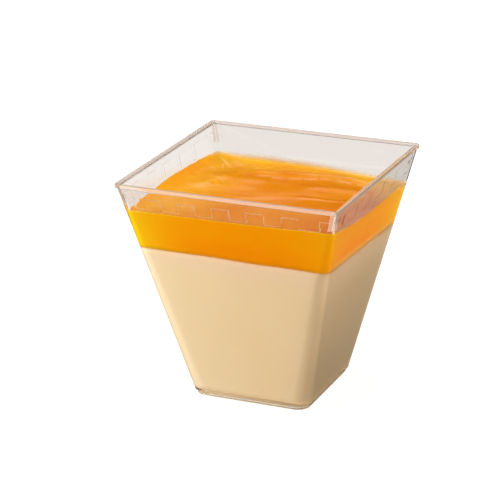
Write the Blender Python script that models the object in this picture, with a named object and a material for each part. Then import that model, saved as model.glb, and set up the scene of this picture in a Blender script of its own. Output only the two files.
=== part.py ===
"""Panna cotta under a mango sauce, in a clear square dessert cup.

Units are metres, +Z is up, and the origin is the centre of the cup's base.
The cup's walls are parallel to the X and Y axes, and its front wall faces -Y.
"""

import math

import bmesh
import bpy

MM = 0.001

# Cup, outside: a square that widens upwards in a straight line.
CUP_HEIGHT = 66.1 * MM
RIM_HALF = 33.0 * MM
BASE_HALF = 17.58 * MM
BEAD_PROUD = 0.22 * MM
BEAD_HEIGHT = 1.0 * MM
BASE_CORNER_RADIUS = 4.0 * MM
RIM_CORNER_RADIUS = 1.6 * MM

# Foot: a ring that stands in a little from the walls, round a shallow recess.
FOOT_HEIGHT = 1.0 * MM
FOOT_INSET = 0.35 * MM
FOOT_CHAMFER = 0.2 * MM
FOOT_RING_WIDTH = 2.0 * MM

# Cup, inside.
FLOOR_TOP = 2.1 * MM
WALL = 1.1 * MM
CAVITY_RADIUS_LESS = 0.6 * MM
COLLAR_WALL = 0.8 * MM
COLLAR_CORNER_RADIUS = 0.6 * MM

# Stacking ledge: the collar's thinner wall starts here, and pads stand on the ledge.
LEDGE_HEIGHT = 59.3 * MM
PAD_TOP = 63.1 * MM
PAD_WIDTH = 5.1 * MM
PAD_PITCH = 10.25 * MM
PADS_EACH_SIDE = 2
CORNER_PAD_FROM = 27.2 * MM
PAD_REACH_IN = 26.0 * MM
PAD_REACH_OUT = 36.0 * MM

# Each wall's pads: the wall's direction, how far its row is off the middle, and how much lower
# than PAD_TOP it ends.
PAD_ROWS = (
    ("+X", -1.2 * MM, 0.4 * MM),
    ("+Y", 0.0 * MM, 0.0 * MM),
    ("-X", -2.2 * MM, -0.5 * MM),
    ("-Y", -1.7 * MM, 1.3 * MM),
)

# Food. The heights are the layer's and the sauce's at the four corners.
GAP = 0.3 * MM
LAYER_FRONT_LEFT = 47.1 * MM
LAYER_FRONT_RIGHT = 46.5 * MM
LAYER_BACK_RIGHT = 43.4 * MM
LAYER_BACK_LEFT = 45.4 * MM
SAUCE_FRONT_LEFT = 57.6 * MM
SAUCE_FRONT_RIGHT = 57.8 * MM
SAUCE_BACK_RIGHT = 54.6 * MM
SAUCE_BACK_LEFT = 55.9 * MM
SAUCE_TOP_LIMIT = 59.0 * MM
FOOD_HALF = 30.0 * MM

# Waves of the sauce's top: height, turns across the cup in X and in Y, and phase.
SAUCE_WAVES = (
    (0.35 * MM, 0.8, 1.3, 0.6),
    (0.25 * MM, 1.7, -0.9, 2.1),
    (0.15 * MM, -1.1, 2.3, 4.0),
)
MENISCUS_RISE = 1.1 * MM
MENISCUS_WIDTH = 2.4 * MM

ARC_STEPS = 6
SAUCE_CELLS = 28
LAYER_CELLS = 10

CUP_SLOPE = (RIM_HALF - BEAD_PROUD - BASE_HALF) / CUP_HEIGHT
FAR_ABOVE = CUP_HEIGHT + 4 * MM


def outer_half(z):
    """Half width of the cup's outside at a height."""
    return BASE_HALF + CUP_SLOPE * z


def outer_radius(z):
    """Corner radius of the cup's outside at a height."""
    share = z / CUP_HEIGHT
    return BASE_CORNER_RADIUS + (RIM_CORNER_RADIUS - BASE_CORNER_RADIUS) * share


def cavity_radius(z):
    """Corner radius of the cup's inside, below the ledge, at a height."""
    return outer_radius(z) - CAVITY_RADIUS_LESS


def corner_blend(x, y, front_left, front_right, back_right, back_left):
    """Height at a point of a gently twisted sheet given by its four corner heights."""
    u = 0.5 + 0.5 * x / FOOD_HALF
    v = 0.5 + 0.5 * y / FOOD_HALF
    front = front_left + (front_right - front_left) * u
    back = back_left + (back_right - back_left) * u
    return front + (back - front) * v


def layer_height(x, y):
    """Boundary between the panna cotta and the sauce."""
    return corner_blend(
        x, y, LAYER_FRONT_LEFT, LAYER_FRONT_RIGHT, LAYER_BACK_RIGHT, LAYER_BACK_LEFT
    )


def layer_height_above_gap(x, y):
    """Underside of the sauce."""
    return layer_height(x, y) + GAP


def sauce_height(x, y):
    """Top of the sauce: tilted, wavy, and climbing a little at the walls."""
    z = corner_blend(
        x, y, SAUCE_FRONT_LEFT, SAUCE_FRONT_RIGHT, SAUCE_BACK_RIGHT, SAUCE_BACK_LEFT
    )
    for height, turns_x, turns_y, phase in SAUCE_WAVES:
        angle = math.pi * (turns_x * x + turns_y * y) / FOOD_HALF + phase
        z += height * math.sin(angle)
    to_wall = outer_half(z) - WALL - max(abs(x), abs(y))
    z += MENISCUS_RISE * math.exp(-max(to_wall, 0.0) / MENISCUS_WIDTH)
    return min(z, SAUCE_TOP_LIMIT)


def make_collection(name):
    """New collection under the scene's own."""
    collection = bpy.data.collections.new(name)
    bpy.context.scene.collection.children.link(collection)
    return collection


def make_material(name, colour, roughness, alpha=1.0, transmission=0.0):
    """Principled material of one plain finish."""
    material = bpy.data.materials.new(name)
    material.use_nodes = True
    shader = material.node_tree.nodes["Principled BSDF"]
    shader.inputs["Base Color"].default_value = (*colour, 1.0)
    shader.inputs["Roughness"].default_value = roughness
    shader.inputs["Metallic"].default_value = 0.0
    shader.inputs["Alpha"].default_value = alpha
    shader.inputs["Transmission Weight"].default_value = transmission
    return material


def add_object(name, bm, collection):
    """Object that takes the shape built in a bmesh."""
    bmesh.ops.recalc_face_normals(bm, faces=bm.faces)
    mesh = bpy.data.meshes.new(name)
    bm.to_mesh(mesh)
    bm.free()
    mesh.shade_smooth()
    mesh.set_sharp_from_angle(angle=math.radians(30))
    piece = bpy.data.objects.new(name, mesh)
    collection.objects.link(piece)
    return piece


def rounded_square(half, radius, z):
    """Points of a square with round corners, anticlockwise from the +X side."""
    points = []
    centre = half - radius
    for quarter in range(4):
        turn = quarter * math.pi / 2
        middle_x = centre * math.sqrt(2) * math.cos(turn + math.pi / 4)
        middle_y = centre * math.sqrt(2) * math.sin(turn + math.pi / 4)
        for step in range(ARC_STEPS + 1):
            angle = turn + step * math.pi / 2 / ARC_STEPS
            x = middle_x + radius * math.cos(angle)
            y = middle_y + radius * math.sin(angle)
            points.append((x, y, z))
    return points


def loft(name, sections, collection):
    """Closed solid through rounded squares, each given as half width, radius and height."""
    bm = bmesh.new()
    rings = []
    for half, radius, z in sections:
        rings.append([bm.verts.new(point) for point in rounded_square(half, radius, z)])
    for lower, upper in zip(rings, rings[1:]):
        count = len(lower)
        for i in range(count):
            j = (i + 1) % count
            bm.faces.new((lower[i], lower[j], upper[j], upper[i]))
    bm.faces.new(rings[0])
    bm.faces.new(rings[-1])
    return add_object(name, bm, collection)


def sheet_block(name, height_at, cells, end_z, collection):
    """Solid between a surface and a flat end, wider than the food."""
    bm = bmesh.new()
    bmesh.ops.create_grid(bm, x_segments=cells, y_segments=cells, size=FOOD_HALF + MM)
    for vert in bm.verts:
        vert.co.z = height_at(vert.co.x, vert.co.y)
    made = bmesh.ops.extrude_face_region(bm, geom=bm.faces[:])
    for item in made["geom"]:
        if isinstance(item, bmesh.types.BMVert):
            item.co.z = end_z
    return add_object(name, bm, collection)


def box(bm, low, high):
    """Adds a box to a bmesh, from two opposite corners."""
    cube = bmesh.ops.create_cube(bm, size=1.0)
    for vert in cube["verts"]:
        for axis in range(3):
            middle = (low[axis] + high[axis]) / 2
            vert.co[axis] = middle + vert.co[axis] * (high[axis] - low[axis])


def pad_blocks(collection):
    """Blocks at the pads' places: a row on each wall, and one at each corner."""
    bm = bmesh.new()
    below = LEDGE_HEIGHT - MM
    for wall, shift, drop in PAD_ROWS:
        reach = (PAD_REACH_IN, PAD_REACH_OUT) if wall[0] == "+" else (-PAD_REACH_OUT, -PAD_REACH_IN)
        for row in range(-PADS_EACH_SIDE, PADS_EACH_SIDE + 1):
            near = row * PAD_PITCH + shift - PAD_WIDTH / 2
            far = near + PAD_WIDTH
            if wall[1] == "X":
                box(bm, (reach[0], near, below), (reach[1], far, PAD_TOP - drop))
            else:
                box(bm, (near, reach[0], below), (far, reach[1], PAD_TOP - drop))
    corner_spans = ((-PAD_REACH_OUT, -CORNER_PAD_FROM), (CORNER_PAD_FROM, PAD_REACH_OUT))
    for low_x, high_x in corner_spans:
        for low_y, high_y in corner_spans:
            box(bm, (low_x, low_y, below), (high_x, high_y, PAD_TOP))
    return add_object("pad_blocks", bm, collection)


def cut(piece, cutter):
    """Boolean difference that stays on the piece as a modifier."""
    modifier = piece.modifiers.new("cut_" + cutter.name, "BOOLEAN")
    modifier.operation = "DIFFERENCE"
    modifier.solver = "EXACT"
    modifier.object = cutter
    cutter.hide_render = True
    cutter.display_type = "WIRE"


def inner_half(z):
    """Half width of the cavity that the food fills."""
    return outer_half(z) - WALL


def collar_half(z):
    """Half width of the wider cavity above the ledge."""
    return outer_half(z) - COLLAR_WALL


def make_cup(parts, cutters):
    """Clear cup: foot, walls, bead, cavity, ledge and pads."""
    foot_half = BASE_HALF - FOOT_INSET
    foot_radius = BASE_CORNER_RADIUS - FOOT_INSET
    bead_low = CUP_HEIGHT - BEAD_HEIGHT
    bead_edge = 0.2 * MM
    outside = (
        (foot_half - FOOT_CHAMFER, foot_radius - FOOT_CHAMFER, 0.0),
        (foot_half, foot_radius, FOOT_CHAMFER),
        (foot_half, foot_radius, FOOT_HEIGHT - FOOT_CHAMFER),
        (outer_half(FOOT_HEIGHT), outer_radius(FOOT_HEIGHT), FOOT_HEIGHT + FOOT_CHAMFER),
        (outer_half(bead_low), outer_radius(bead_low), bead_low),
        (RIM_HALF, RIM_CORNER_RADIUS, bead_low + bead_edge),
        (RIM_HALF, RIM_CORNER_RADIUS, CUP_HEIGHT - bead_edge),
        (RIM_HALF - bead_edge, RIM_CORNER_RADIUS - bead_edge, CUP_HEIGHT),
    )
    cup = loft("cup", outside, parts)

    cavity = loft(
        "cavity",
        (
            (inner_half(FLOOR_TOP), cavity_radius(FLOOR_TOP), FLOOR_TOP),
            (inner_half(FAR_ABOVE), cavity_radius(FAR_ABOVE), FAR_ABOVE),
        ),
        cutters,
    )
    collar_cavity = loft(
        "collar_cavity",
        (
            (collar_half(LEDGE_HEIGHT), COLLAR_CORNER_RADIUS, LEDGE_HEIGHT),
            (collar_half(FAR_ABOVE), COLLAR_CORNER_RADIUS, FAR_ABOVE),
        ),
        cutters,
    )
    cut(collar_cavity, pad_blocks(cutters))

    recess_half = foot_half - FOOT_RING_WIDTH
    recess_radius = foot_radius - FOOT_RING_WIDTH / 2
    recess = loft(
        "recess",
        ((recess_half, recess_radius, -MM), (recess_half, recess_radius, FOOT_HEIGHT)),
        cutters,
    )
    for cutter in (cavity, collar_cavity, recess):
        cut(cup, cutter)

    cup.data.materials.append(
        make_material("clear_polystyrene", (0.93, 0.92, 0.90), 0.05, 0.3, 1.0)
    )
    return cup


def food_solid(name, low_z, high_z, parts):
    """Solid that fills the cavity between two heights, less the gap at the walls."""
    sections = []
    for z in (low_z, high_z):
        sections.append((inner_half(z) - GAP, cavity_radius(z) - GAP, z))
    return loft(name, sections, parts)


def make_panna_cotta(parts, cutters):
    """Set cream from the cup's floor to the layer boundary."""
    panna_cotta = food_solid("panna_cotta", FLOOR_TOP + GAP, LEDGE_HEIGHT, parts)
    cut(panna_cotta, sheet_block("above_layer", layer_height, LAYER_CELLS, FAR_ABOVE, cutters))
    panna_cotta.data.materials.append(make_material("set_cream", (0.86, 0.66, 0.39), 0.35))
    return panna_cotta


def make_mango_sauce(parts, cutters):
    """Sauce from the layer boundary to its wavy top."""
    sauce = food_solid("mango_sauce", FLOOR_TOP + GAP, LEDGE_HEIGHT, parts)
    cut(sauce, sheet_block("below_sauce", layer_height_above_gap, LAYER_CELLS, -MM, cutters))
    cut(sauce, sheet_block("above_sauce", sauce_height, SAUCE_CELLS, FAR_ABOVE, cutters))
    sauce.data.materials.append(make_material("mango_sauce", (0.86, 0.30, 0.01), 0.12))
    return sauce


def main():
    """Builds the dessert in an empty scene."""
    for leftover in list(bpy.data.objects):
        bpy.data.objects.remove(leftover, do_unlink=True)
    parts = make_collection("panna_cotta_cup")
    cutters = make_collection("cutters")
    make_cup(parts, cutters)
    make_panna_cotta(parts, cutters)
    make_mango_sauce(parts, cutters)


main()
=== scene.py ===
"""Looks of the panna cotta: a clear square cup, set cream and a glossy mango sauce.

Lengths are in metres, +Z is up, and the cup stands on its base at the origin with its front
wall facing -Y. Sides of the cup are numbered 0 to 3: right, back, left and front.
"""

import math

import bmesh
import bpy
from mathutils import Matrix, Vector, noise


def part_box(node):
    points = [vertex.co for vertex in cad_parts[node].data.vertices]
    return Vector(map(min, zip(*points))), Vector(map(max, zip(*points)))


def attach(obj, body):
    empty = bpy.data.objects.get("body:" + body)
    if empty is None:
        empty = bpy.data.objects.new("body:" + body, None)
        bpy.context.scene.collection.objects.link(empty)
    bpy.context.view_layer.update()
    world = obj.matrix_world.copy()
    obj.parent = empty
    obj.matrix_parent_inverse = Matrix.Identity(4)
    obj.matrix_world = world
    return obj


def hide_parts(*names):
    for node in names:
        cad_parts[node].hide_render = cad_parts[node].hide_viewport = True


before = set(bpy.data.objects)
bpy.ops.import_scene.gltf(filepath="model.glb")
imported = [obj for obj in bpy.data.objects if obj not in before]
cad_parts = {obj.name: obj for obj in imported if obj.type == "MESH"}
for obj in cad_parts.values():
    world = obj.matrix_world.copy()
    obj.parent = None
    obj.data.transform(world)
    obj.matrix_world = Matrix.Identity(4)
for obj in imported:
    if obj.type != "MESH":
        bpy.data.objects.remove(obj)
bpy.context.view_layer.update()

MM = 0.001

# --------------------------------------------------------------------------- sizes of the cup
CUP_LOW, CUP_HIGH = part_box("cup")
CUP_HEIGHT = CUP_HIGH[2]
RIM_HALF = CUP_HIGH[0]
BASE_HALF = 17.58 * MM
BEAD_PROUD = 0.22 * MM
BEAD_HEIGHT = 1.0 * MM
BASE_CORNER_RADIUS = 4.0 * MM
RIM_CORNER_RADIUS = 1.6 * MM
CUP_SLOPE = (RIM_HALF - BEAD_PROUD - BASE_HALF) / CUP_HEIGHT

FOOT_HEIGHT = 1.0 * MM
FOOT_INSET = 0.35 * MM
FOOT_RING_WIDTH = 2.0 * MM
FLOOR_TOP = 2.1 * MM
FLOOR_FILLET = 1.4 * MM
WALL = 1.1 * MM
CAVITY_RADIUS_LESS = 0.6 * MM
COLLAR_WALL = 0.8 * MM
COLLAR_CORNER_RADIUS = 0.6 * MM
CORNER_RUN = 5.1 * MM

LEDGE_HEIGHT = 59.3 * MM
PAD_TOP = 63.1 * MM
PAD_WIDTH = 5.1 * MM
PAD_PITCH = 10.25 * MM
PADS_EACH_SIDE = 2
CORNER_PAD_FROM = 27.2 * MM
PAD_EDGE_SOFT = 0.10 * MM

# The mould isn't true. For the right, back, left and front wall: how far the row of pads sits
# along from the middle, how much lower its tops are than PAD_TOP, the share of the ledge's step
# that is there, and how soft the pads' upright edges are.
PAD_SHIFTS = (-1.2 * MM, 0.0 * MM, 2.2 * MM, -1.7 * MM)
PAD_DROPS = (0.4 * MM, 0.0 * MM, -0.5 * MM, 0.8 * MM)
PAD_DEPTHS = (0.04, 0.3, 0.24, 0.45)
PAD_SOFTNESS = (0.25 * MM, 0.22 * MM, 0.22 * MM, 0.13 * MM)

# Side whose pad and ledge edges get a painted highlight: a pale, dull finish.
PAINTED_HIGHLIGHT_SIDE = 3

# Finishes of the cup's faces and of the sauce's, in the order of their materials.
CLEAR_FACES, FROSTED_FACES, PAINTED_HIGHLIGHT_FACES = range(3)
SAUCE_TOP_FACES, SAUCE_SIDE_FACES = range(2)

# --------------------------------------------------------------------------- sizes of the food
FOOD_HALF = 30.0 * MM
FOOD_REACH = 0.15 * MM
SAUCE_REACH = 0.17 * MM

# Heights at the front left, front right, back right and back left corner.
LAYER_CORNERS = (47.1 * MM, 46.5 * MM, 43.4 * MM, 45.4 * MM)
SAUCE_CORNERS = (57.4 * MM, 57.6 * MM, 54.6 * MM, 55.6 * MM)

# Height in millimetres at which the sauce ends on the walls, four places to a wall,
# anticlockwise seen from above, starting at the front left corner.
SAUCE_EDGE = (
    58.5, 58.5, 58.6, 58.8,
    59.1, 56.9, 56.0, 55.8,
    56.1, 57.2, 58.1, 58.4,
    58.2, 58.9, 59.4, 59.2,
)

# How the sauce meets the right, back, left and front wall: share of its climb that is a wide
# slope, the slope's width, the height of the film's faded edge, and how ragged that edge is.
SLOPE_SHARE = (0.45, 0.30, 0.85, 0.45)
SLOPE_WIDTH = (1.2 * MM, 3.0 * MM, 2.4 * MM, 1.2 * MM)
FILM_FADE = (0.05 * MM, 3.00 * MM, 0.45 * MM, 0.05 * MM)
FILM_RAGGED = (0.10 * MM, 0.07 * MM, 0.20 * MM, 0.05 * MM)
FILM_THIN = 0.30 * MM
FILM_SPOTS = 0.07

# Folds of the sauce's top in millimetres: the points they run through, half width, height.
SAUCE_FOLDS = (
    (((-12, 21), (-4, 23), (2, 24.5), (8, 26), (14, 26.4), (22, 24.8)), 3.4, 0.46),
    (((8, 13.6), (14, 15), (22, 15.4)), 2.2, 0.24),
    (((-27, 12), (-14, 12.6), (-9, 13.6)), 2.8, 0.14),
    (((-24, 2), (-21, 12), (-17, 22), (-10, 26)), 2.6, 0.14),
    (((1, -5), (8, 0), (15, 5), (26, 10)), 7.0, -0.30),
    (((15, 4.2), (20, 5.2)), 1.1, 0.11),
    (((8, 3.2), (13, 4.4)), 1.1, 0.11),
    (((-8, -4), (0, 0), (7.4, 3.6)), 1.6, 0.04),
    (((-27, 24), (-24, 26)), 2.4, 0.12),
)

# Upright corners round which light is painted into the food's colour: direction, strength, reach.
PAINTED_CORNER_LIGHTS = (
    (-1, -1, 1.0, 8 * MM),
    (1, -1, 0.30, 6 * MM),
    (1, 1, 0.95, 9 * MM),
    (-1, 1, 0.9, 9 * MM),
)

# A bubble under the sauce's skin, in millimetres.
BUBBLE_PLACE = (-19.4, 6.2)
BUBBLE_RADIUS = 1.0
BUBBLE_HEIGHT = 0.55

# How finely the food is cut up: places to a side and rows of the cream, cells and rows of the sauce.
CREAM_PLACES = 40
CREAM_ROWS = 24
SAUCE_CELLS = 220
SAUCE_ROWS = 14

# --------------------------------------------------------------------------- finishes
# Plastic: colour, transmission, roughness, and how much the smears add to it.
CLEAR_WALL = ((0.96, 0.94, 0.91, 1.0), 1.0, 0.01, 0.03)
FROSTED_RIM = ((0.90, 0.84, 0.80, 1.0), 0.64, 0.28, 0.10)
# Painted highlight on the edges of the front pads: pale and dull.
PAD_EDGE_PAINTED_HIGHLIGHT = ((1.0, 0.88, 0.74, 1.0), 0.3, 0.35, 0.10)

# Colours of the set cream: two that mix in clouds, then where sauce has soaked in, at the
# boundary, and painted light round the upright corners.
CREAM_LIGHT = (0.95, 0.86, 0.635, 1.0)
CREAM_DARK = (0.94, 0.84, 0.60, 1.0)
CREAM_SOAKED = (0.95, 0.86, 0.69, 1.0)
CREAM_SEEPED = (0.97, 0.66, 0.34, 1.0)
CREAM_PAINTED_CORNER_LIGHT = (0.99, 0.92, 0.72, 1.0)

# Colours of the sauce: its body, where it is thin and where it is deep, on top and at the sides
# (the sides' thin colour is light painted round the upright corners), then next to the cream,
# where it fades out on the wall, a painted glow of light through that film, at its lip (also a
# faint painted haze on the far sides), and a painted glow with light behind it.
SAUCE_TOP_BODY = (0.68, 0.182, 0.001, 1.0)
SAUCE_TOP_THIN = (0.86, 0.48, 0.02, 1.0)
SAUCE_TOP_DEEP = (0.62, 0.143, 0.001, 1.0)
SAUCE_SIDE_BODY = (0.99, 0.46, 0.0005, 1.0)
SAUCE_SIDE_PAINTED_CORNER_LIGHT = (1.0, 0.68, 0.01, 1.0)
SAUCE_SIDE_DEEP = (0.99, 0.38, 0.0005, 1.0)
SAUCE_MEETS_CREAM = (0.99, 0.60, 0.16, 1.0)
SAUCE_FILM = (0.91, 0.72, 0.34, 1.0)
FILM_PAINTED_GLOW = (0.07, 0.04, 0.01, 1.0)
SAUCE_LIP = (1.0, 0.80, 0.45, 1.0)
SAUCE_SHONE_THROUGH = (0.80, 0.42, 0.05, 1.0)

BLACK = (0.0, 0.0, 0.0, 1.0)
WHITE = (1.0, 1.0, 1.0, 1.0)

# Share of a side that is its straight stretch, in the running number that goes round a wall.
STRAIGHT_SHARE = 0.85


def outer_half(z):
    """Half width of the cup's outside at a height."""
    return BASE_HALF + CUP_SLOPE * z


def outer_radius(z):
    """Corner radius of the cup's outside at a height."""
    return BASE_CORNER_RADIUS + (RIM_CORNER_RADIUS - BASE_CORNER_RADIUS) * z / CUP_HEIGHT


def cavity_radius(z):
    """Corner radius of the cup's inside at a height."""
    return outer_radius(z) - CAVITY_RADIUS_LESS


def clamp(value, low=0.0, high=1.0):
    """Value kept within a range."""
    return max(low, min(high, value))


def smooth(value):
    """Smooth step from 0 to 1."""
    value = clamp(value)
    return value * value * (3 - 2 * value)


def mix(a, b, share):
    """Straight blend of two numbers."""
    return a + (b - a) * share


def wall_place(across, half, radius, z):
    """Distance along and out for a place on one side of a rounded square."""
    start = min(outer_half(z) - CORNER_RUN, half - radius)
    size = abs(across)
    flat = half - radius - start
    if size <= STRAIGHT_SHARE:
        along = start * size / STRAIGHT_SHARE
        out = half
    else:
        share = (size - STRAIGHT_SHARE) / (1 - STRAIGHT_SHARE)
        flat_share = 0.5 if flat > 0.001 * MM else 0.0
        if share < flat_share:
            along = start + flat * share / flat_share
            out = half
        else:
            bend = (share - flat_share) / (1 - flat_share) * math.pi / 4
            along = half - radius + radius * math.sin(bend)
            out = half - radius + radius * math.cos(bend)
    return math.copysign(along, across), out


def wall_point(side, across, half, radius, z):
    """Point on a rounded square. Sides 0 to 3 face +X, +Y, -X and -Y."""
    along, out = wall_place(across, half, radius, z)
    turn = side * math.pi / 2
    x = out * math.cos(turn) - along * math.sin(turn)
    y = out * math.sin(turn) + along * math.cos(turn)
    return Vector((x, y, z))


def wall_blend(values, side, across):
    """One value for each wall, blended into the next wall's round the corners."""
    share = 0.5 * smooth((abs(across) - 0.7) / 0.3)
    neighbour = (side + (1 if across > 0 else -1)) % 4
    return mix(values[side], values[neighbour], share)


# --------------------------------------------------------------------------- mesh helpers
def add_piece(name, bm, node):
    """Object from a bmesh, riding on the part's one body in place of a CAD node."""
    bmesh.ops.recalc_face_normals(bm, faces=bm.faces)
    mesh = bpy.data.meshes.new(name)
    bm.to_mesh(mesh)
    bm.free()
    mesh.shade_smooth()
    piece = bpy.data.objects.new(name, mesh)
    bpy.context.scene.collection.objects.link(piece)
    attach(piece, "root")
    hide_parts(node)
    return piece


def bridge(bm, lower, upper):
    """Quads between two closed rings of points."""
    count = len(lower)
    for i in range(count):
        j = (i + 1) % count
        bm.faces.new((lower[i], lower[j], upper[j], upper[i]))


def close_shell(bm, rings):
    """Closed shell through rings, with a flat face at each end."""
    for lower, upper in zip(rings, rings[1:]):
        bridge(bm, lower, upper)
    bm.faces.new(rings[0])
    bm.faces.new(rings[-1])


# --------------------------------------------------------------------------- cup
def pad_share(side, along):
    """1 where a pad stands on the ledge, 0 between pads."""
    from_row = along - PAD_SHIFTS[side]
    row = clamp(round(from_row / PAD_PITCH), -PADS_EACH_SIDE, PADS_EACH_SIDE)
    past_row = PAD_WIDTH / 2 - abs(from_row - row * PAD_PITCH)
    past_corner = abs(along) - CORNER_PAD_FROM
    past = max(past_row, past_corner)
    soft = PAD_SOFTNESS[side]
    return smooth((past + soft) / (2 * soft))


def cup_columns():
    """Places round the cup: dense at the pads' edges and in the corners."""
    start = outer_half(PAD_TOP) - CORNER_RUN
    corner_shares = (0.0, 0.06, 0.085, 0.13, 0.2, 0.35, 0.45, 0.5, 0.56, 0.64, 0.73, 0.82, 0.91)
    columns = []
    for side in range(4):
        across = {-1.0}
        edges = [edge + step * PAD_SOFTNESS[side] for edge in (-PAD_WIDTH / 2, PAD_WIDTH / 2)
                 for step in (-2.2, -1.0, -0.4, 0.4, 1.0, 2.2)]
        for row in range(-PADS_EACH_SIDE, PADS_EACH_SIDE + 1):
            middle = row * PAD_PITCH + PAD_SHIFTS[side]
            places = [middle, middle + PAD_PITCH / 2]
            places += [middle + edge for edge in edges]
            across.update(place / start * STRAIGHT_SHARE for place in places)
        for share in corner_shares:
            place = STRAIGHT_SHARE + share * (1 - STRAIGHT_SHARE)
            across.update((place, -place))
        columns += [(side, place) for place in sorted(across)]
    return columns


def on_pad_edge(side, along, z):
    """Whether a place inside the collar is on the edge of a pad or of the ledge, where a highlight is
    painted.
    """
    past_top = z + PAD_DROPS[side] - PAD_TOP
    past_ledge = z - LEDGE_HEIGHT
    between = pad_share(side, along)
    upright = 0.02 < between < 0.98 and -PAD_EDGE_SOFT < past_ledge and past_top < PAD_EDGE_SOFT
    top = between > 0.02 and abs(past_top) < PAD_EDGE_SOFT
    ledge = between < 0.98 and abs(past_ledge) < PAD_EDGE_SOFT
    return upright or top or ledge


def frost_rim(cup):
    """Frosts the rim bead and the collar's corners, and paints highlights on the edges of the front pads.
    """
    bead_low = CUP_HEIGHT - BEAD_HEIGHT
    for face in cup.data.polygons:
        x, y, z = face.center
        half = outer_half(z)
        outside = max(abs(x), abs(y)) > half - 0.5 * COLLAR_WALL
        corner = min(abs(x), abs(y)) > half - outer_radius(z) and z > LEDGE_HEIGHT - MM
        if outside and (z > bead_low or corner):
            face.material_index = FROSTED_FACES
        elif not outside and LEDGE_HEIGHT - 2 * MM < z < bead_low:
            side = round(math.atan2(y, x) / (math.pi / 2)) % 4
            along = (y, -x, -y, x)[side]
            # Painted highlight on the front pads' edges.
            if side == PAINTED_HIGHLIGHT_SIDE and on_pad_edge(side, along, z):
                face.material_index = PAINTED_HIGHLIGHT_FACES


def cup_outside_rows():
    """Half width, corner radius and height of the cup's outside, from under the floor to the rim."""
    foot_half = BASE_HALF - FOOT_INSET
    foot_radius = BASE_CORNER_RADIUS - FOOT_INSET
    recess_half = foot_half - FOOT_RING_WIDTH
    recess_radius = foot_radius - FOOT_RING_WIDTH / 2
    soft = 0.25 * MM
    rows = [
        (recess_half - 4 * MM, recess_radius * 0.5, FOOT_HEIGHT),
        (recess_half - 1 * MM, recess_radius * 0.8, FOOT_HEIGHT),
        (recess_half - 0.30 * MM, recess_radius - 0.30 * MM, FOOT_HEIGHT),
        (recess_half - 0.06 * MM, recess_radius - 0.06 * MM, FOOT_HEIGHT - 0.06 * MM),
        (recess_half, recess_radius, FOOT_HEIGHT - 0.30 * MM),
        (recess_half, recess_radius, soft),
        (recess_half + 0.07 * MM, recess_radius + 0.07 * MM, 0.07 * MM),
        (recess_half + soft, recess_radius + soft, 0.0),
        (foot_half - soft, foot_radius - soft, 0.0),
        (foot_half - 0.07 * MM, foot_radius - 0.07 * MM, 0.07 * MM),
        (foot_half, foot_radius, soft),
        (foot_half, foot_radius, FOOT_HEIGHT - 0.30 * MM),
        (foot_half + 0.05 * MM, foot_radius + 0.05 * MM, FOOT_HEIGHT - 0.10 * MM),
    ]
    heel = FOOT_HEIGHT + 0.05 * MM
    for step in range(5):
        angle = step / 4 * math.pi / 2
        inset = 0.30 * MM * (1 - math.sin(angle))
        z = heel + 0.35 * MM * (1 - math.cos(angle))
        rows.append((outer_half(z) - inset, outer_radius(z) - inset, z))
    bead_low = CUP_HEIGHT - BEAD_HEIGHT
    for z in (3 * MM, 6 * MM, 15 * MM, 30 * MM, 45 * MM, 60 * MM, bead_low - 0.4 * MM, bead_low):
        rows.append((outer_half(z), outer_radius(z), z))
    radius = RIM_CORNER_RADIUS
    rows += [
        (RIM_HALF - 0.10 * MM, radius - 0.10 * MM, bead_low + 0.03 * MM),
        (RIM_HALF - 0.02 * MM, radius - 0.02 * MM, bead_low + 0.10 * MM),
        (RIM_HALF, radius, bead_low + 0.22 * MM),
        (RIM_HALF, radius, CUP_HEIGHT - 0.25 * MM),
        (RIM_HALF - 0.04 * MM, radius - 0.04 * MM, CUP_HEIGHT - 0.10 * MM),
        (RIM_HALF - 0.12 * MM, radius - 0.12 * MM, CUP_HEIGHT - 0.02 * MM),
        (RIM_HALF - 0.24 * MM, radius - 0.24 * MM, CUP_HEIGHT),
    ]
    return rows


def cup_ring(bm, columns, half, radius, z):
    """Ring of points round the cup."""
    return [bm.verts.new(wall_point(side, across, half, radius, z)) for side, across in columns]


def no_pads(_side, _along):
    """Share of a pad in the collar above them."""
    return 0.0


def whole_wall(_side, _along):
    """Share of a pad below the ledge, where all of the wall is thick."""
    return 1.0


def collar_ring(bm, columns, height, share_at):
    """Ring of the cup's inside near the ledge, as thick as its share of a pad makes it."""
    ring = []
    for side, across in columns:
        near_pads = clamp((height - LEDGE_HEIGHT) / MM) * clamp((CUP_HEIGHT - MM - height) / MM)
        z = height - near_pads * wall_blend(PAD_DROPS, side, across)
        thin = wall_point(side, across, outer_half(z) - COLLAR_WALL, COLLAR_CORNER_RADIUS, z)
        thick = wall_point(side, across, outer_half(z) - WALL, cavity_radius(z), z)
        along, _ = wall_place(across, outer_half(z) - COLLAR_WALL, COLLAR_CORNER_RADIUS, z)
        share = mix(1 - wall_blend(PAD_DEPTHS, side, across), 1.0, share_at(side, along))
        ring.append(bm.verts.new(thin.lerp(thick, share)))
    return ring


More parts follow.
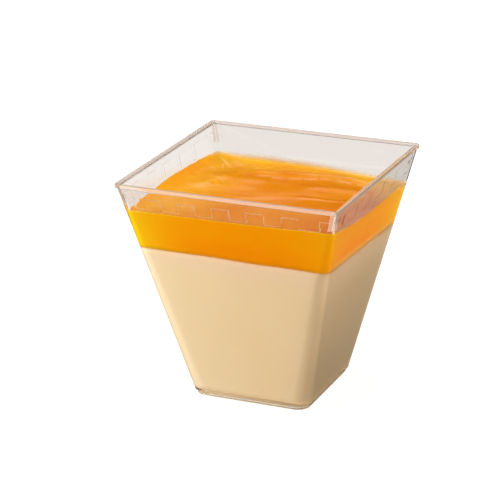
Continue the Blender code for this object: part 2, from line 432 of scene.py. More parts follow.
def make_cup():
    """Clear cup with its foot ring, bead, stacking ledge and pads."""
    bm = bmesh.new()
    columns = cup_columns()
    rings = [cup_ring(bm, columns, *row) for row in cup_outside_rows()]

    inner_rim = outer_half(CUP_HEIGHT) - COLLAR_WALL
    rim_radius = COLLAR_CORNER_RADIUS
    rings.append(cup_ring(bm, columns, inner_rim + 0.16 * MM, rim_radius + 0.16 * MM, CUP_HEIGHT))
    rings.append(
        cup_ring(bm, columns, inner_rim + 0.04 * MM, rim_radius + 0.04 * MM, CUP_HEIGHT - 0.05 * MM)
    )
    steps = [
        (CUP_HEIGHT - 0.2 * MM, no_pads),
        (CUP_HEIGHT - 0.6 * MM, no_pads),
        (CUP_HEIGHT - MM, no_pads),
        (PAD_TOP + 2.2 * PAD_EDGE_SOFT, no_pads),
        (PAD_TOP + PAD_EDGE_SOFT, no_pads),
        (PAD_TOP - PAD_EDGE_SOFT, pad_share),
        (PAD_TOP - 2.2 * PAD_EDGE_SOFT, pad_share),
        (0.5 * (PAD_TOP + LEDGE_HEIGHT), pad_share),
        (LEDGE_HEIGHT + 2.2 * PAD_EDGE_SOFT, pad_share),
        (LEDGE_HEIGHT + PAD_EDGE_SOFT, pad_share),
        (LEDGE_HEIGHT - PAD_EDGE_SOFT, whole_wall),
        (LEDGE_HEIGHT - 2.2 * PAD_EDGE_SOFT, whole_wall),
    ]
    rings += [collar_ring(bm, columns, z, share_at) for z, share_at in steps]
    for z in (50 * MM, 35 * MM, 20 * MM, 8 * MM):
        rings.append(cup_ring(bm, columns, outer_half(z) - WALL, cavity_radius(z), z))
    for half, radius, z in fillet_rows(0.0):
        rings.append(cup_ring(bm, columns, half, radius, z))
    for inset in (1 * MM, 5 * MM):
        half = outer_half(FLOOR_TOP) - WALL - FLOOR_FILLET - inset
        rings.append(cup_ring(bm, columns, half, cavity_radius(FLOOR_TOP) * 0.4, FLOOR_TOP))
    close_shell(bm, rings)
    cup = add_piece("clear_cup", bm, "cup")
    frost_rim(cup)
    return cup


def fillet_rows(reach):
    """Rounding between the cavity's wall and floor, from the wall down, moved out by a reach."""
    rows = []
    steps = 6
    top = FLOOR_TOP + FLOOR_FILLET
    for step in range(steps + 1):
        angle = step / steps * math.pi / 2
        inset = FLOOR_FILLET * (1 - math.cos(angle)) - reach * math.cos(angle)
        z = top - (FLOOR_FILLET + reach) * math.sin(angle)
        half = outer_half(top) - WALL - inset
        rows.append((half, cavity_radius(top) - inset, z))
    return rows


# --------------------------------------------------------------------------- food
def corner_blend(x, y, corners):
    """Height on a gently twisted sheet: front left, front right, back right, back left."""
    u = 0.5 + 0.5 * x / FOOD_HALF
    v = 0.5 + 0.5 * y / FOOD_HALF
    front = mix(corners[0], corners[1], u)
    back = mix(corners[3], corners[2], u)
    return mix(front, back, v)


def layer_height(x, y):
    """Boundary between the set cream and the sauce."""
    ripple = noise.noise(Vector((x, y, 0.0)) / (14 * MM))
    return corner_blend(x, y, LAYER_CORNERS) + 0.18 * MM * ripple


def food_columns(count):
    """Evenly spread places round the cup, count to a side."""
    places = [-1 + 2 * i / count for i in range(count)]
    return [(side, place) for side in range(4) for place in places]


def food_point(side, across, reach, z):
    """Point on the food's side at a height, reaching a little into the cup's wall."""
    half = outer_half(z) - WALL + reach
    return wall_point(side, across, half, cavity_radius(z) + reach, z)


def settle(side, across, reach, height_at):
    """Point where a surface given by height_at meets the cup's wall."""
    z = 50 * MM
    for _ in range(6):
        point = food_point(side, across, reach, z)
        z = height_at(point.x, point.y)
    return food_point(side, across, reach, z)


def make_cream():
    """Set cream: fills the cup from its floor to the layer boundary."""
    bm = bmesh.new()
    columns = food_columns(CREAM_PLACES)
    rings = []
    floor_half = outer_half(FLOOR_TOP) - WALL - FLOOR_FILLET
    for inset in (6 * MM, 1 * MM):
        ring_rows = (floor_half - inset, cavity_radius(0.0) * 0.5, FLOOR_TOP - FOOD_REACH)
        rings.append([bm.verts.new(wall_point(*column, *ring_rows)) for column in columns])
    for half, radius, z in reversed(fillet_rows(FOOD_REACH)):
        rings.append([bm.verts.new(wall_point(*column, half, radius, z)) for column in columns])
    tops = [settle(*column, FOOD_REACH, layer_height) for column in columns]
    low = FLOOR_TOP + FLOOR_FILLET
    for row in range(1, CREAM_ROWS + 1):
        ring = []
        for column, top in zip(columns, tops):
            z = mix(low, top.z, row / CREAM_ROWS)
            ring.append(bm.verts.new(food_point(*column, FOOD_REACH, z)))
        rings.append(ring)
    for share in (0.97, 0.85, 0.6, 0.3):
        ring = []
        for top in tops:
            x, y = top.x * share, top.y * share
            ring.append(bm.verts.new((x, y, layer_height(x, y))))
        rings.append(ring)
    close_shell(bm, rings)
    cream = add_piece("set_cream", bm, "panna_cotta")
    store(cream, "below_layer", lambda p: (layer_height(p.x, p.y) - p.z) / MM)
    store(cream, "corner", corner_painted_light)
    store(cream, "shade", cream_painted_shade)
    return cream


def store(piece, name, value_at):
    """Writes a number for each point of a piece, for its material to read."""
    mesh = piece.data
    attribute = mesh.attributes.new(name, "FLOAT", "POINT")
    attribute.data.foreach_set("value", [value_at(vertex.co) for vertex in mesh.vertices])


def edge_height(side, across):
    """Height at which the sauce ends on the wall."""
    first = (side + 1) % 4 * 4
    place = (across + 1) * 2
    step = min(int(place), 3)
    share = place - step
    a, b, c, d = (SAUCE_EDGE[(first + step + k) % 16] for k in (-1, 0, 1, 2))
    height = b + 0.5 * share * (
        c - a + share * (2 * a - 5 * b + 4 * c - d + share * (3 * (b - c) + d - a))
    )
    turn = math.radians(90 * side + 45 * across)
    round_about = Vector((math.cos(turn), math.sin(turn), 0.3)) * 9.0
    ragged = noise.noise(round_about) + 0.5 * noise.noise(round_about * 2.7)
    return height * MM + wall_blend(FILM_RAGGED, side, across) * ragged


def fold_height(x, y, points, width, height):
    """Height that one fold adds at a point."""
    place = Vector((x, y)) / MM
    nearest = math.inf
    for start, end in zip(points, points[1:]):
        run = Vector(end) - Vector(start)
        share = clamp((place - Vector(start)).dot(run) / run.dot(run))
        nearest = min(nearest, (place - Vector(start) - run * share).length)
    away = nearest / width
    return height * math.exp(-away * away) if away < 3 else 0.0


def bubble_height(x, y):
    """A small bubble under the sauce's skin: a dome with a dip round it."""
    away = (Vector((x, y)) / MM - Vector(BUBBLE_PLACE)).length / BUBBLE_RADIUS
    dome = BUBBLE_HEIGHT * math.sqrt(1 - away * away) if away < 1 else 0.0
    dip = -0.12 * math.exp(-((away - 1.25) / 0.35) ** 2)
    return dome + dip


def sauce_open_height(x, y, folds=True):
    """Top of the sauce away from the walls: tilted, wavy, with a few folds."""
    z = corner_blend(x, y, SAUCE_CORNERS) / MM
    z += 0.14 * noise.noise(Vector((x, y, 3 * MM)) / (16 * MM))
    if folds:
        z += 0.07 * noise.noise(Vector((x * 0.6, y, 7 * MM)) / (6 * MM))
        z += sum(fold_height(x, y, *fold) for fold in SAUCE_FOLDS)
        z += bubble_height(x, y)
    return z * MM


def sauce_cells(count):
    """Places from -1 to 1 for the sauce's top, closer together near the walls."""
    places = []
    for i in range(count + 1):
        even = -1 + 2 * i / count
        places.append(math.copysign(1 - (1 - abs(even)) ** 1.35, even))
    return places


def square_place(u, v):
    """Ring size, side and place across that side for a point of the square from -1 to 1."""
    size = max(abs(u), abs(v))
    if size < 1e-9:
        return 0.0, 0, 0.0
    if abs(u) >= abs(v):
        side, across = (0, v / size) if u > 0 else (2, -v / size)
    else:
        side, across = (1, -u / size) if v > 0 else (3, u / size)
    return size, side, across


def sauce_top_point(u, v):
    """Point of the sauce's top, with its climb up the nearest wall and the film's strength."""
    size, side, across = square_place(u, v)
    edge = edge_height(side, across)
    rim = food_point(side, across, SAUCE_REACH, edge)
    x, y = rim.x * size, rim.y * size
    from_wall = (1 - size) * FOOD_HALF
    slope_share = wall_blend(SLOPE_SHARE, side, across)
    slope = slope_share * math.exp(-from_wall / wall_blend(SLOPE_WIDTH, side, across))
    film = (1 - slope_share) * math.exp(-from_wall / FILM_THIN)
    rise = edge - sauce_open_height(rim.x, rim.y, False)
    calm = math.exp(-from_wall / (1.5 * MM))
    level = mix(sauce_open_height(x, y), sauce_open_height(x, y, False), calm)
    z = level + rise * (slope + film)
    fade = wall_blend(FILM_FADE, side, across)
    strength = max(0.0, edge - z) / fade + max(0.0, from_wall - FILM_THIN) / min(4 * fade, 2 * MM)
    thinness = sauce_thinness(x / MM, y / MM)
    return Vector((x, y, z)), strength, thinness


def sauce_thinness(x, y):
    """How thin the sauce looks from above: thin at the left and back, deeper at the right."""
    from_back = FOOD_HALF / MM - y
    left = 0.45 * smooth((-x - 4) / 22)
    right = -0.22 * smooth((x - 16) / 12)
    back = 0.55 * math.exp(-max(from_back, 0.0) / 4.0)
    smear = -0.22 * math.exp(-((x + 14) / 9) ** 2 - ((y - 17) / 2.5) ** 2)
    corner = 0.75 * smooth((x + y - 36) / 12)
    return 0.27 + left + right + back + smear + corner


def add_sauce_top(bm, film_layer, thin_layer, places):
    """Top of the sauce as a grid of points, joined with quads."""
    grid = []
    for u in places:
        column = []
        for v in places:
            point, strength, thinness = sauce_top_point(u, v)
            vert = bm.verts.new(point)
            vert[film_layer] = strength
            vert[thin_layer] = thinness
            column.append(vert)
        grid.append(column)
    for left, right in zip(grid, grid[1:]):
        for j in range(SAUCE_CELLS):
            bm.faces.new((left[j], right[j], right[j + 1], left[j + 1]))
    return grid


def walk_round(count):
    """Grid places round the edge of a square of cells, anticlockwise from the front right."""
    walk = [(count, j) for j in range(count)]
    walk += [(i, count) for i in range(count, 0, -1)]
    walk += [(0, j) for j in range(count, 0, -1)]
    walk += [(i, 0) for i in range(count)]
    return walk


def add_sauce_side(bm, film_layer, border, columns):
    """Side and underside of the sauce, from its border on the wall down to the cream."""
    sunk = 0.03 * MM
    bottoms = [settle(*column, SAUCE_REACH, layer_height) for column in columns]
    rings = [border]
    for row in range(1, SAUCE_ROWS + 1):
        down = (row / SAUCE_ROWS) ** 1.6
        ring = []
        for column, top, bottom in zip(columns, border, bottoms):
            z = mix(top.co.z, bottom.z - sunk, down)
            vert = bm.verts.new(food_point(*column, SAUCE_REACH, z))
            vert[film_layer] = (top.co.z - z) / wall_blend(FILM_FADE, *column)
            ring.append(vert)
        rings.append(ring)
    for share in (0.97, 0.8, 0.5, 0.2):
        ring = []
        for bottom in bottoms:
            x, y = bottom.x * share, bottom.y * share
            vert = bm.verts.new((x, y, layer_height(x, y) - sunk))
            vert[film_layer] = 10.0
            ring.append(vert)
        rings.append(ring)
    for upper, lower in zip(rings, rings[1:]):
        bridge(bm, upper, lower)
    bm.faces.new(rings[-1])


def make_sauce():
    """Mango sauce: a band against the walls and a wavy, glossy top that climbs them."""
    bm = bmesh.new()
    film_layer = bm.verts.layers.float.new("film")
    thin_layer = bm.verts.layers.float.new("thin")
    places = sauce_cells(SAUCE_CELLS)
    grid = add_sauce_top(bm, film_layer, thin_layer, places)
    top_faces = len(bm.faces)
    walk = walk_round(SAUCE_CELLS)
    border = [grid[i][j] for i, j in walk]
    columns = [square_place(places[i], places[j])[1:] for i, j in walk]
    add_sauce_side(bm, film_layer, border, columns)
    bm.faces.ensure_lookup_table()
    for face in bm.faces[top_faces:]:
        face.material_index = SAUCE_SIDE_FACES
    sauce = add_piece("mango_sauce_body", bm, "mango_sauce")
    store(sauce, "corner", corner_painted_light)
    store(sauce, "far", lambda p: far_side(p, 11 * MM))
    store(sauce, "above_layer", lambda p: (p.z - layer_height(p.x, p.y)) / MM)
    return sauce


def far_side(point, width=3 * MM):
    """1 on the right and back walls, 0 on the left and front ones, fading in over a width."""
    half = outer_half(point.z) - WALL
    to_far = half - max(point.x, point.y)
    to_near = half + min(point.x, point.y)
    return smooth(1.5 * MM / width + (to_near - to_far) / width)


def cream_painted_shade(point):
    """Share of the cream's colour left by painted shade: darker low on the far side, just before the
    front right corner, and towards the right across the front.
    """
    far = far_side(point)
    upper = 0.15 * smooth((44 * MM - point.z) / (14 * MM))
    lower = 0.14 * clamp((30 * MM - point.z) / (20 * MM))
    to_corner = (outer_half(point.z) - WALL - point.x) / (1.9 * MM)
    corner = 0.24 * math.exp(-to_corner * to_corner) * (1 - far) if point.y < 0 else 0.0
    across = 0.05 * clamp((point.x + 20 * MM) / (40 * MM)) * (1 - far)
    return 1 - far * (upper + lower) - corner - across


def corner_painted_light(point):
    """Strength of the light painted round each upright corner: 1 at the front left one."""
    glow = 0.0
    half = outer_half(point.z) - WALL
    for side_x, side_y, strength, reach in PAINTED_CORNER_LIGHTS:
        away = math.hypot(half * side_x - point.x, half * side_y - point.y)
        glow = max(glow, strength * math.exp(-max(0.0, away - 2 * MM) / reach))
    return glow


# --------------------------------------------------------------------------- shader helpers
def feed(tree, socket, value):
    """Links a socket to another one, or sets its value."""
    if isinstance(value, bpy.types.NodeSocket):
        tree.links.new(value, socket)
    else:
        socket.default_value = value


def calculate(tree, operation, first, second=0.0, limit=False):
    """Math node on two values."""
    node = tree.nodes.new("ShaderNodeMath")
    node.operation = operation
    node.use_clamp = limit
    feed(tree, node.inputs[0], first)
    feed(tree, node.inputs[1], second)
    return node.outputs[0]


def ramp(tree, value, low, high, start=0.0, end=1.0):
    """Smooth change from start to end as a value goes from low to high."""
    node = tree.nodes.new("ShaderNodeMapRange")
    node.interpolation_type = "SMOOTHSTEP"
    for name, number in zip(("From Min", "From Max", "To Min", "To Max"), (low, high, start, end)):
        node.inputs[name].default_value = number
    feed(tree, node.inputs["Value"], value)
    return node.outputs["Result"]


def blend_colours(tree, share, first, second):
    """Mix of two colours."""
    node = tree.nodes.new("ShaderNodeMix")
    node.data_type = "RGBA"
    feed(tree, node.inputs["Factor"], share)
    feed(tree, node.inputs["A"], first)
    feed(tree, node.inputs["B"], second)
    return node.outputs["Result"]


def painted(tree, name):
    """Number stored on a piece's points."""
    node = tree.nodes.new("ShaderNodeAttribute")
    node.attribute_name = name
    return node.outputs["Fac"]


def new_group(name, inputs, outputs):
    """Empty node group with named sockets, its input node and its output node."""
    group = bpy.data.node_groups.new(name, "ShaderNodeTree")
    for label, kind, start in inputs:
        socket = group.interface.new_socket(label, in_out="INPUT", socket_type=kind)
        socket.default_value = start
    for label, kind in outputs:
        group.interface.new_socket(label, in_out="OUTPUT", socket_type=kind)
    return group, group.nodes.new("NodeGroupInput"), group.nodes.new("NodeGroupOutput")


def use_group(tree, group, values):
    """Places a node group in a material and returns its first output."""
    node = tree.nodes.new("ShaderNodeGroup")
    node.node_tree = group
    for name, value in values.items():
        feed(tree, node.inputs[name], value)
    return node.outputs[0]


def make_patches_group():
    """Cloudy patches from 0 to 1, of a size in millimetres, drawn out along the width."""
    group, given, result = new_group(
        "cloudy_patches",
        (("Patch Size", "NodeSocketFloat", 6.0), ("Stretch", "NodeSocketFloat", 1.0)),
        (("Patches", "NodeSocketFloat"),),
    )
    place = group.nodes.new("ShaderNodeTexCoord")
    split = group.nodes.new("ShaderNodeSeparateXYZ")
    join = group.nodes.new("ShaderNodeCombineXYZ")
    group.links.new(place.outputs["Object"], split.inputs["Vector"])
    squeezed = calculate(group, "DIVIDE", split.outputs["X"], given.outputs["Stretch"])
    group.links.new(squeezed, join.inputs["X"])
    group.links.new(split.outputs["Y"], join.inputs["Y"])
    group.links.new(split.outputs["Z"], join.inputs["Z"])
    cloud = group.nodes.new("ShaderNodeTexNoise")
    cloud.inputs["Detail"].default_value = 3.0
    cloud.inputs["Roughness"].default_value = 0.55
    group.links.new(join.outputs["Vector"], cloud.inputs["Vector"])
    density = calculate(group, "DIVIDE", 1 / MM, given.outputs["Patch Size"])
    group.links.new(density, cloud.inputs["Scale"])
    group.links.new(ramp(group, cloud.outputs["Fac"], 0.25, 0.75), result.inputs["Patches"])
    return group


def make_film_group(patches):
    """Covering of the sauce where it thins out on the wall: more or less ragged."""
    group, given, result = new_group(
        "film_cover",
        (("Film", "NodeSocketFloat", 1.0), ("Ragged", "NodeSocketFloat", 0.5)),
        (("Cover", "NodeSocketFloat"),),
    )
    spots = use_group(group, patches, {"Patch Size": 2.4, "Stretch": 1.6})
    around = calculate(group, "SUBTRACT", spots, 0.5)
    swing = calculate(group, "MULTIPLY", around, given.outputs["Ragged"])
    strength = calculate(group, "ADD", given.outputs["Film"], swing)
    group.links.new(ramp(group, strength, -0.05, 0.75), result.inputs["Cover"])
    return group


def make_sauce_colour_group():
    """Colour of the sauce: yellower where it is thin, redder where it is deep."""
    group, given, result = new_group(
        "sauce_colour",
        (
            ("Body", "NodeSocketColor", (0.9, 0.3, 0.0, 1.0)),
            ("Thin", "NodeSocketColor", (0.9, 0.4, 0.0, 1.0)),
            ("Deep", "NodeSocketColor", (0.8, 0.2, 0.0, 1.0)),
            ("Thinness", "NodeSocketFloat", 0.0),
            ("Depth", "NodeSocketFloat", 0.0),
        ),
        (("Color", "NodeSocketColor"),),
    )
    deepened = blend_colours(
        group, given.outputs["Depth"], given.outputs["Body"], given.outputs["Deep"]
    )
    colour = blend_colours(group, given.outputs["Thinness"], deepened, given.outputs["Thin"])
    group.links.new(colour, result.inputs["Color"])
    return group


# --------------------------------------------------------------------------- materials
def new_material(name):
    """Empty node material with an output and a Principled shader."""
    material = bpy.data.materials.new(name)
    material.use_nodes = True
    tree = material.node_tree
    tree.nodes.clear()
    output = tree.nodes.new("ShaderNodeOutputMaterial")
    shader = tree.nodes.new("ShaderNodeBsdfPrincipled")
    tree.links.new(shader.outputs["BSDF"], output.inputs["Surface"])
    return material, tree, shader, output


def bump(tree, shader, height, depth):
    """Relief of a depth in metres on a shader."""
    node = tree.nodes.new("ShaderNodeBump")
    node.inputs["Distance"].default_value = depth
    feed(tree, node.inputs["Height"], height)
    tree.links.new(node.outputs["Normal"], shader.inputs["Normal"])


def let_light_in(shader, weight, radius, scale):
    """Lets light scatter inside a food: its share, its reach in each colour and its scale."""
    shader.inputs["Subsurface Weight"].default_value = weight
    shader.inputs["Subsurface Radius"].default_value = radius
    shader.inputs["Subsurface Scale"].default_value = scale


def plastic_material(patches, name, finish):
    """Polystyrene that lets light pass on to the food, with faint smears and waves."""
    colour, transmission, roughness, smear = finish
    material, tree, shader, output = new_material(name)
    shader.inputs["Base Color"].default_value = colour
    shader.inputs["Transmission Weight"].default_value = transmission
    shader.inputs["IOR"].default_value = 1.5
    smears = use_group(tree, patches, {"Patch Size": 5.0})
    haze = ramp(tree, smears, 0.0, 1.0, roughness, roughness + smear)
    tree.links.new(haze, shader.inputs["Roughness"])
    waves = use_group(tree, patches, {"Patch Size": 9.0, "Stretch": 1.5})
    bump(tree, shader, waves, 0.004 * MM)
    through = tree.nodes.new("ShaderNodeBsdfTransparent")
    through.inputs["Color"].default_value = (0.93, 0.93, 0.92, 1.0)
    path = tree.nodes.new("ShaderNodeLightPath")
    choice = tree.nodes.new("ShaderNodeMixShader")
    tree.links.new(path.outputs["Is Shadow Ray"], choice.inputs["Fac"])
    tree.links.new(shader.outputs["BSDF"], choice.inputs[1])
    tree.links.new(through.outputs["BSDF"], choice.inputs[2])
    tree.links.new(choice.outputs["Shader"], output.inputs["Surface"])
    return material


def cream_material(patches):
    """Set cream: smooth and cloudy, with a paler band under the sauce, a stain next to it, painted light
    round the corners and painted shade.
    """
    material, tree, shader, _ = new_material("set_cream")
    cloud = use_group(tree, patches, {"Patch Size": 14.0})
    colour = blend_colours(tree, cloud, CREAM_LIGHT, CREAM_DARK)
    soaked = ramp(tree, painted(tree, "below_layer"), 3.2, 6.5, 0.75, 0.0)
    colour = blend_colours(tree, soaked, colour, CREAM_SOAKED)
    # Painted light: paler round the upright corners, most at the front left.
    corner_light_share = calculate(tree, "MULTIPLY", painted(tree, "corner"), 0.6)
    colour = blend_colours(tree, corner_light_share, colour, CREAM_PAINTED_CORNER_LIGHT)
    seeped = ramp(tree, painted(tree, "below_layer"), 0.0, 0.7, 0.55, 0.0)
    colour = blend_colours(tree, seeped, colour, CREAM_SEEPED)
    # Painted shade: darker low on the right and back walls, before the front right corner and towards the
    # right.
    colour = blend_colours(tree, painted(tree, "shade"), BLACK, colour)
    tree.links.new(colour, shader.inputs["Base Color"])
    grain = use_group(tree, patches, {"Patch Size": 1.2})
    tree.links.new(ramp(tree, grain, 0.0, 1.0, 0.45, 0.6), shader.inputs["Roughness"])
    bump(tree, shader, grain, 0.01 * MM)
    shader.inputs["Specular IOR Level"].default_value = 0.0
    let_light_in(shader, 0.3, (1.0, 0.7, 0.4), 2 * MM)
    return material


def sauce_top_material(patches, film_cover, sauce_colour):
    """Mango sauce open to the air: wet and glossy, pale where it fades out, with a painted glow there and
    on its back faces as if lit from behind.
    """
    material, tree, shader, _ = new_material("mango_sauce_top")
    cloud = use_group(tree, patches, {"Patch Size": 8.0, "Stretch": 1.8})
    fine = use_group(tree, patches, {"Patch Size": 2.2, "Stretch": 2.2})
    swing = calculate(tree, "MULTIPLY", calculate(tree, "SUBTRACT", cloud, 0.5), 0.22)
    thinness = calculate(tree, "ADD", painted(tree, "thin"), swing, limit=True)
    colour = use_group(
        tree,
        sauce_colour,
        {
            "Body": SAUCE_TOP_BODY,
            "Thin": SAUCE_TOP_THIN,
            "Deep": SAUCE_TOP_DEEP,
            "Thinness": thinness,
            "Depth": ramp(tree, fine, 0.2, 1.0, 0.0, 0.3),
        },
    )
    pale = ramp(tree, painted(tree, "film"), 0.1, 1.3, 0.8, 0.0)
    colour = blend_colours(tree, pale, colour, SAUCE_FILM)
    # Painted glow: light through the fading film, and on the back faces light shining through.
    glow = blend_colours(tree, pale, BLACK, FILM_PAINTED_GLOW)
    face = tree.nodes.new("ShaderNodeNewGeometry")
    glow = blend_colours(tree, face.outputs["Backfacing"], glow, SAUCE_SHONE_THROUGH)
    tree.links.new(glow, shader.inputs["Emission Color"])
    shader.inputs["Emission Strength"].default_value = 1.0
    tree.links.new(colour, shader.inputs["Base Color"])
    tree.links.new(ramp(tree, fine, 0.0, 1.0, 0.06, 0.11), shader.inputs["Roughness"])
    bump(tree, shader, fine, 0.008 * MM)
    cover = use_group(tree, film_cover, {"Film": painted(tree, "film"), "Ragged": FILM_SPOTS})
    tree.links.new(cover, shader.inputs["Alpha"])
    shader.inputs["IOR"].default_value = 1.4
    let_light_in(shader, 0.35, (1.0, 0.4, 0.02), 1.5 * MM)
    return material


def sauce_side_material(patches, film_cover, sauce_colour):
    """Mango sauce wetting the plastic, so that it has no gloss of its own, with light painted round the
    upright corners and a faint painted haze on the right and back walls.
    """
    material, tree, shader, _ = new_material("mango_sauce_against_wall")
    cloud = use_group(tree, patches, {"Patch Size": 6.0, "Stretch": 2.5})
    low = ramp(tree, painted(tree, "above_layer"), 0.0, 9.0, 1.0, 0.0)
    swing = calculate(tree, "MULTIPLY", calculate(tree, "SUBTRACT", cloud, 0.5), 0.5)
    film = painted(tree, "film")
    # Painted light: the sides are yellower round the upright corners, most at the front left.
    colour = use_group(
        tree,
        sauce_colour,
        {
            "Body": SAUCE_SIDE_BODY,
            "Thin": SAUCE_SIDE_PAINTED_CORNER_LIGHT,
            "Deep": SAUCE_SIDE_DEEP,
            "Thinness": painted(tree, "corner"),
            "Depth": calculate(tree, "ADD", low, swing, limit=True),
        },
    )
    met = ramp(tree, painted(tree, "above_layer"), 0.0, 0.6, 0.5, 0.0)
    # On the right and back walls the paler colour reaches higher up the sauce.
    far_paler_band = ramp(tree, painted(tree, "above_layer"), 0.3, 2.6, 0.8, 0.0)
    far_paler_band = calculate(tree, "MULTIPLY", far_paler_band, painted(tree, "far"))
    meeting = calculate(tree, "MAXIMUM", met, far_paler_band)
    colour = blend_colours(tree, meeting, colour, SAUCE_MEETS_CREAM)
    # Painted haze of light on the right and back walls.
    haze = calculate(tree, "MULTIPLY", painted(tree, "far"), 0.03)
    colour = blend_colours(tree, haze, colour, SAUCE_LIP)
    lip = ramp(tree, film, 0.0, 2.6, 0.7, 0.0)
    colour = blend_colours(tree, lip, colour, SAUCE_LIP)
    tree.links.new(colour, shader.inputs["Base Color"])
    behind = calculate(tree, "SUBTRACT", film, 0.5)
    cover = use_group(tree, film_cover, {"Film": behind, "Ragged": FILM_SPOTS})
    tree.links.new(cover, shader.inputs["Alpha"])
    tree.links.new(ramp(tree, cloud, 0.0, 1.0, 0.45, 0.6), shader.inputs["Roughness"])
    shader.inputs["Specular IOR Level"].default_value = 0.0
    let_light_in(shader, 0.3, (1.0, 0.4, 0.02), 1.5 * MM)
    return material


# --------------------------------------------------------------------------- studio
# Colours of the floor and of the surroundings as the eye sees them through plastic, as they
# light the food, and as they show in gloss.
FLOOR_SIZE = 20.0
FLOOR_GLOW = 0.9
FLOOR_DIFFUSE = 0.2
FLOOR_BOUNCE = (1.38, 1.09, 0.88, 1.0)
FLOOR_MIRROR_FRONT = (0.02, 0.02, 0.02, 1.0)
FLOOR_MIRROR_BACK = (0.13, 0.11, 0.08, 1.0)
FLOOR_MIRROR_TURN = (-0.03, 0.05)
STUDIO_THROUGH = (0.76, 0.76, 0.77, 1.0)
STUDIO_AMBIENT = (1.00, 0.80, 0.64, 1.0)

# What gloss sees of the surroundings: height of a direction and its brightness. Beside a
# leaning strip of it, between a left and a right edge, the surroundings are dark.
STUDIO_GLOSS = (
    (0.0, 0.0), (0.285, 0.02), (0.31, 0.33), (0.34, 0.42), (0.39, 0.95), (0.54, 0.40), (1.0, 0.1),
)
GLOSS_LEAN = 0.4
GLOSS_LEFT_EDGE = (-0.524, -0.504)
GLOSS_RIGHT_EDGE = (-0.482, -0.462)
GLOSS_BESIDE = (0.01, 0.01, 0.01, 1.0)
GLOSS_BESIDE_SHARE = 0.9

# Softboxes: azimuth and elevation in degrees, distance and size, then power and colour.
KEY_PLACE = (-50.0, 45.0, 0.42, 0.30)
KEY_LIGHT = (1.0, (1.0, 1.0, 1.0))
LOW_PLACE = (-60.0, 3.0, 0.22, 0.12)
LOW_LIGHT = (0.10, (1.0, 1.0, 1.0))
BEHIND_PLACE = (135.0, 6.0, 0.65, 0.45)
FILL_LIGHT = (0.72, (1.0, 0.88, 0.78))
GLOW_LIGHT = (3.4, (1.0, 0.8, 0.5))

CAMERA_AZIMUTH = math.radians(23.66)
CAMERA_ELEVATION = math.radians(19.81)
CAMERA_ROLL = math.radians(-0.72)
CAMERA_DISTANCE = 654.95 * MM
CAMERA_AIM = (-6.19 * MM, 11.77 * MM, 29.7 * MM)
CAMERA_LENS = 164.9
SENSOR_WIDTH = 36.0


def add_camera():
    """Camera at the object's viewing angle, turned a little about its own axis."""
    azimuth, elevation = CAMERA_AZIMUTH, CAMERA_ELEVATION
    back = Vector(
        (
            math.sin(azimuth) * math.cos(elevation),
            -math.cos(azimuth) * math.cos(elevation),
            math.sin(elevation),
        )
    )
    level_right = Vector((math.cos(azimuth), math.sin(azimuth), 0.0))
    level_up = back.cross(level_right)
    right = level_right * math.cos(CAMERA_ROLL) + level_up * math.sin(CAMERA_ROLL)
    up = level_up * math.cos(CAMERA_ROLL) - level_right * math.sin(CAMERA_ROLL)
    data = bpy.data.cameras.new("camera")
    data.sensor_width = SENSOR_WIDTH
    data.lens = CAMERA_LENS
    data.clip_start = 0.01
    data.clip_end = 50.0
    camera = bpy.data.objects.new("camera", data)
    place = Vector((0.0, 0.0, CAMERA_AIM[2])) + right * CAMERA_AIM[0] + up * CAMERA_AIM[1]
    place += back * CAMERA_DISTANCE
    turn = Matrix((right, up, back)).transposed().to_4x4()
    camera.matrix_world = Matrix.Translation(place) @ turn
    bpy.context.scene.collection.objects.link(camera)
    bpy.context.scene.camera = camera


def straight_view(tree, mirrored):
    """What a ray is: seen by the eye, not a bounce off a soft surface, and the white it sees.

    The first two are 1 or 0. mirrored names the light path output that tells a bounce off gloss.
    The white is greyer through clear plastic.
    """
    path = tree.nodes.new("ShaderNodeLightPath")
    not_diffuse = calculate(tree, "LESS_THAN", path.outputs["Diffuse Depth"], 0.5)
    not_mirrored = calculate(tree, "LESS_THAN", path.outputs[mirrored], 0.5)
    seen = calculate(tree, "MULTIPLY", not_diffuse, not_mirrored)
    through = calculate(tree, "GREATER_THAN", path.outputs["Transmission Depth"], 0.5)
    white = blend_colours(tree, through, WHITE, STUDIO_THROUGH)
    return seen, not_diffuse, white


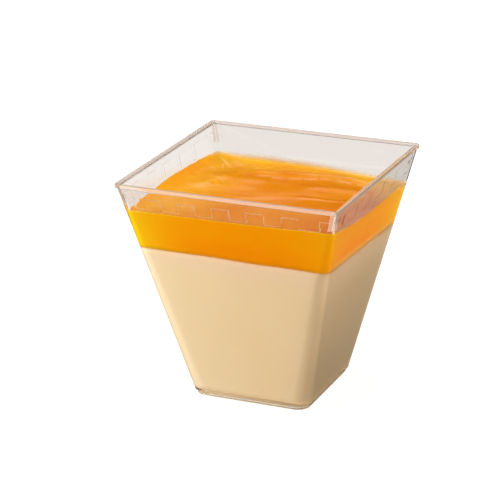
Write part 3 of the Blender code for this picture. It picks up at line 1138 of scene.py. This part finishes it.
def add_floor():
    """Plain pale floor: white to the eye, warm as bounce light, and dark in gloss."""
    bm = bmesh.new()
    bmesh.ops.create_grid(bm, x_segments=1, y_segments=1, size=FLOOR_SIZE / 2)
    mesh = bpy.data.meshes.new("studio_floor")
    bm.to_mesh(mesh)
    bm.free()
    floor = bpy.data.objects.new("studio_floor", mesh)
    floor.location.z = CUP_LOW[2] - 0.05 * MM
    bpy.context.scene.collection.objects.link(floor)
    material, tree, shader, output = new_material("pale_floor")
    shader.inputs["Base Color"].default_value = (FLOOR_DIFFUSE, FLOOR_DIFFUSE, FLOOR_DIFFUSE, 1.0)
    shader.inputs["Roughness"].default_value = 1.0
    shader.inputs["Specular IOR Level"].default_value = 0.0
    shader.inputs["Emission Strength"].default_value = FLOOR_GLOW
    bounce = tree.nodes.new("ShaderNodeEmission")
    bounce.inputs["Color"].default_value = FLOOR_BOUNCE
    mirror = tree.nodes.new("ShaderNodeEmission")
    place = tree.nodes.new("ShaderNodeTexCoord")
    split = tree.nodes.new("ShaderNodeSeparateXYZ")
    tree.links.new(place.outputs["Object"], split.inputs["Vector"])
    behind = ramp(tree, split.outputs["Y"], *FLOOR_MIRROR_TURN)
    glossed = blend_colours(tree, behind, FLOOR_MIRROR_FRONT, FLOOR_MIRROR_BACK)
    tree.links.new(glossed, mirror.inputs["Color"])
    seen, not_diffuse, white = straight_view(tree, "Is Reflection Ray")
    tree.links.new(white, shader.inputs["Emission Color"])
    indirect = tree.nodes.new("ShaderNodeMixShader")
    tree.links.new(not_diffuse, indirect.inputs["Fac"])
    tree.links.new(bounce.outputs["Emission"], indirect.inputs[1])
    tree.links.new(mirror.outputs["Emission"], indirect.inputs[2])
    choice = tree.nodes.new("ShaderNodeMixShader")
    tree.links.new(seen, choice.inputs["Fac"])
    tree.links.new(indirect.outputs["Shader"], choice.inputs[1])
    tree.links.new(shader.outputs["BSDF"], choice.inputs[2])
    tree.links.new(choice.outputs["Shader"], output.inputs["Surface"])
    material.cycles.emission_sampling = "NONE"
    floor.data.materials.append(material)


def add_world():
    """Surroundings: white to the eye, warm as soft light, and a lit strip in gloss."""
    world = bpy.data.worlds.new("studio")
    bpy.context.scene.world = world
    world.use_nodes = True
    world.cycles.sampling_method = "NONE"
    tree = world.node_tree
    background = tree.nodes["Background"]
    coordinates = tree.nodes.new("ShaderNodeTexCoord")
    split = tree.nodes.new("ShaderNodeSeparateXYZ")
    tree.links.new(coordinates.outputs["Generated"], split.inputs["Vector"])
    lean = calculate(tree, "MULTIPLY", split.outputs["Z"], GLOSS_LEAN)
    place = calculate(tree, "SUBTRACT", split.outputs["X"], lean)
    past_left = ramp(tree, place, *GLOSS_LEFT_EDGE, 1.0, 0.0)
    past_right = ramp(tree, place, *GLOSS_RIGHT_EDGE, 0.0, 1.0)
    past = calculate(tree, "MAXIMUM", past_left, past_right)
    beside = calculate(tree, "MULTIPLY", past, GLOSS_BESIDE_SHARE)
    gloss = tree.nodes.new("ShaderNodeValToRGB")
    tree.links.new(split.outputs["Z"], gloss.inputs["Fac"])
    stops = gloss.color_ramp.elements
    while len(stops) < len(STUDIO_GLOSS):
        stops.new(0.5)
    for stop, (rise, level) in zip(stops, STUDIO_GLOSS):
        stop.position = rise
        stop.color = (level, level, level, 1.0)
    seen, not_diffuse, white = straight_view(tree, "Glossy Depth")
    strip = blend_colours(tree, beside, gloss.outputs["Color"], GLOSS_BESIDE)
    unseen = blend_colours(tree, not_diffuse, STUDIO_AMBIENT, strip)
    colour = blend_colours(tree, seen, unseen, white)
    tree.links.new(colour, background.inputs["Color"])


def add_softbox(name, azimuth, elevation, distance, size, power, colour):
    """Square lamp aimed at the cup. Azimuth 0 is in front of the cup, positive to its right."""
    data = bpy.data.lights.new(name, "AREA")
    data.energy = power
    data.size = size
    data.color = colour
    lamp = bpy.data.objects.new(name, data)
    turn, rise = math.radians(azimuth), math.radians(elevation)
    towards = Vector(
        (math.sin(turn) * math.cos(rise), -math.cos(turn) * math.cos(rise), math.sin(rise))
    )
    lamp.location = Vector((0.0, 0.0, CUP_HEIGHT / 2)) + towards * distance
    lamp.rotation_mode = "QUATERNION"
    lamp.rotation_quaternion = towards.to_track_quat("Z", "Y")
    lamp.visible_transmission = False
    lamp.visible_glossy = False
    bpy.context.scene.collection.objects.link(lamp)
    return lamp


def light_only(lamp, piece):
    """Keeps a lamp's light to one piece, for the glow of light that passes through it."""
    lit = bpy.data.collections.new(lamp.name + "_lit")
    lit.objects.link(piece)
    lamp.light_linking.receiver_collection = lit


def main():
    """Builds the pieces, then the studio."""
    add_camera()
    add_floor()
    add_world()
    add_softbox("key_softbox", *KEY_PLACE, *KEY_LIGHT)
    add_softbox("low_softbox", *LOW_PLACE, *LOW_LIGHT)
    add_softbox("back_fill", *BEHIND_PLACE, *FILL_LIGHT)
    patches = make_patches_group()
    film_cover = make_film_group(patches)
    sauce_colour = make_sauce_colour_group()
    cup = make_cup()
    plastics = (("clear_polystyrene", CLEAR_WALL), ("frosted_rim", FROSTED_RIM), ("pad_edge_painted_highlight", PAD_EDGE_PAINTED_HIGHLIGHT))
    for name, finish in plastics:
        cup.data.materials.append(plastic_material(patches, name, finish))
    cream = make_cream()
    cream.data.materials.append(cream_material(patches))
    sauce = make_sauce()
    sauce.data.materials.append(sauce_top_material(patches, film_cover, sauce_colour))
    sauce.data.materials.append(sauce_side_material(patches, film_cover, sauce_colour))
    glow = add_softbox("sauce_glow", *BEHIND_PLACE, *GLOW_LIGHT)
    light_only(glow, sauce)
    bpy.context.scene.view_settings.view_transform = "Standard"


main()
